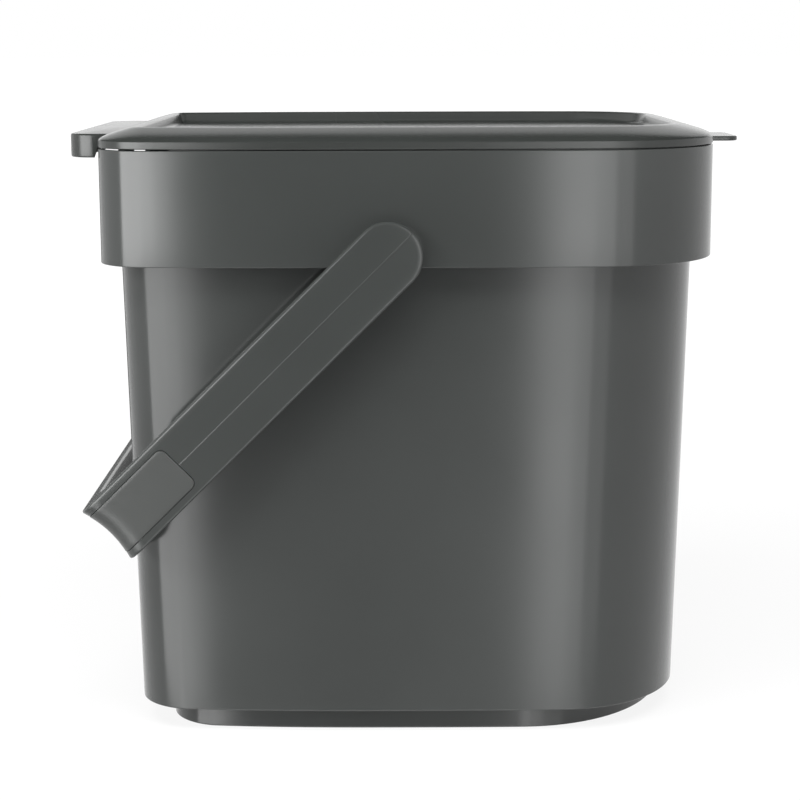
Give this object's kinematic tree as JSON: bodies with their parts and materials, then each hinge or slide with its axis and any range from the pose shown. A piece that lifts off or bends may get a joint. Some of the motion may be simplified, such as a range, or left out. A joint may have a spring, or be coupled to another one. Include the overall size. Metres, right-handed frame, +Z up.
{
  "type": "compost caddy",
  "caption": "Countertop food-waste caddy: tapered bucket with a deep rim collar, hinged lid with thumb tab, and a swinging strap handle with a soft grip.",
  "frame": {"origin": "on the floor, under the middle of the overall length and width", "axes": "+Z up, +X from the hinge towards the thumb tab, +Y across, parallel to the hinge and the handle's pivots"},
  "size_m": [0.2794, 0.2116, 0.2491],
  "materials": {
    "bucket_plastic": "satin moulded polypropylene",
    "collar_plastic": "satin moulded polypropylene",
    "lid_plastic": "satin moulded polypropylene",
    "pin_steel": "drawn stainless rod",
    "handle_plastic": "satin moulded polypropylene",
    "grip_soft": "soft-touch, fine matte grain"
  },
  "bodies": {
    "base": {"bucket": "bucket_plastic", "rim_collar": "collar_plastic", "hinge_pin": "pin_steel"},
    "lid": {"lid": "lid_plastic"},
    "handle": {"handle": "handle_plastic", "grip_pad": "grip_soft"}
  },
  "joints": [
    {"name": "lid_hinge", "type": "hinge", "parent": "base", "child": "lid", "pos_m": [-0.13385, 0, 0.23995], "axis": [0, -1, 0], "range_deg": [0, 105]},
    {"name": "handle_swing", "type": "hinge", "parent": "base", "child": "handle", "pos_m": [-0.00995, 0, 0.1996], "axis": [0, 1, 0], "range_deg": [0, 203]}
  ]
}
